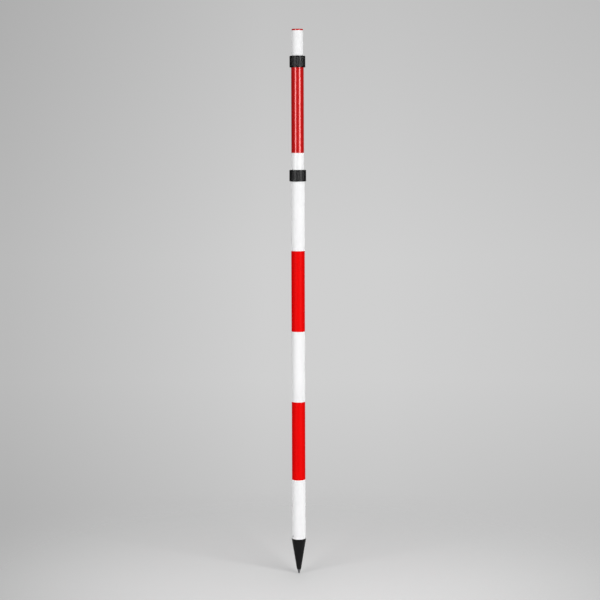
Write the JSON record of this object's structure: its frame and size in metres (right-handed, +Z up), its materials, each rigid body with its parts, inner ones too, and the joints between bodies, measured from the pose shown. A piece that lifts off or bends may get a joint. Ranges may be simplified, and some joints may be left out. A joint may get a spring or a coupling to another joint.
{
  "type": "range pole",
  "caption": "Telescopic surveying range pole with red and white bands, twist-lock collars and a steel point in a conical shoe.",
  "frame": {"origin": "the tip of the steel point, on the pole's axis, where it meets the ground", "axes": "+Z up the pole's axis from the point to the cap; -Y towards the viewer of the picture, +X to the viewer's right"},
  "size_m": [0.043, 0.043, 1.419],
  "materials": {
    "aluminium": "natural, drawn or turned",
    "white_film": "satin film",
    "red_film": "satin film",
    "white_lacquer": "gloss lacquer",
    "white_sleeve": "smooth plastic sleeve",
    "red_lacquer": "gloss lacquer",
    "collar_black": "moulded nylon, fluted grip",
    "shoe_black": "moulded nylon, fine texture",
    "steel": "turned",
    "acetal": "natural, machined",
    "cap_red": "moulded, gloss"
  },
  "bodies": {
    "lower_section": {"lower_tube": "aluminium", "base_white_band": "white_film", "lower_red_band": "red_film", "centre_white_band": "white_film", "upper_red_band": "red_film", "upper_white_band": "white_film", "point_shoe": "shoe_black", "steel_point": "steel", "shoe_rivets": "aluminium", "lower_ferrule": "aluminium"},
    "lower_grip": {"lower_collet": "acetal"},
    "lower_collar": {"lower_lock_nut": "collar_black"},
    "middle_section": {"middle_tube": "aluminium", "middle_red_bands": "red_lacquer", "middle_white_bands": "white_lacquer", "middle_guide_plug": "acetal", "middle_guide_pin": "steel", "middle_stop_ring": "steel", "upper_ferrule": "aluminium"},
    "upper_grip": {"upper_collet": "acetal"},
    "upper_collar": {"upper_lock_nut": "collar_black"},
    "top_section": {"top_tube": "aluminium", "top_head_sleeve": "white_sleeve", "top_white_bands": "white_lacquer", "top_red_bands": "red_lacquer", "top_guide_plug": "acetal", "top_guide_pin": "steel", "top_stop_ring": "steel", "top_cap": "cap_red"}
  },
  "joints": [
    {"name": "middle_slide", "type": "slide", "parent": "lower_section", "child": "middle_section", "axis": [0, 0, 1], "range_m": [-0.258, 0.5115]},
    {"name": "top_slide", "type": "slide", "parent": "middle_section", "child": "top_section", "axis": [0, 0, 1], "range_m": [0, 0.7615]},
    {"name": "lower_grip_lift", "type": "slide", "parent": "lower_section", "child": "lower_grip", "axis": [0, 0, 1], "range_m": [0, 0.0015]},
    {"name": "lower_collar_turn", "type": "hinge", "parent": "lower_grip", "child": "lower_collar", "pos_m": [0, 0, 1.04575], "axis": [0, 0, 1], "range_deg": [0, 270]},
    {"name": "upper_grip_lift", "type": "slide", "parent": "middle_section", "child": "upper_grip", "axis": [0, 0, 1], "range_m": [0, 0.0015]},
    {"name": "upper_collar_turn", "type": "hinge", "parent": "upper_grip", "child": "upper_collar", "pos_m": [0, 0, 1.33625], "axis": [0, 0, 1], "range_deg": [0, 270]}
  ],
  "couplings": [
    {"joint": "lower_grip_lift", "follows": "lower_collar_turn", "m_per_rad": 0.000318},
    {"joint": "upper_grip_lift", "follows": "upper_collar_turn", "m_per_rad": 0.000318}
  ]
}
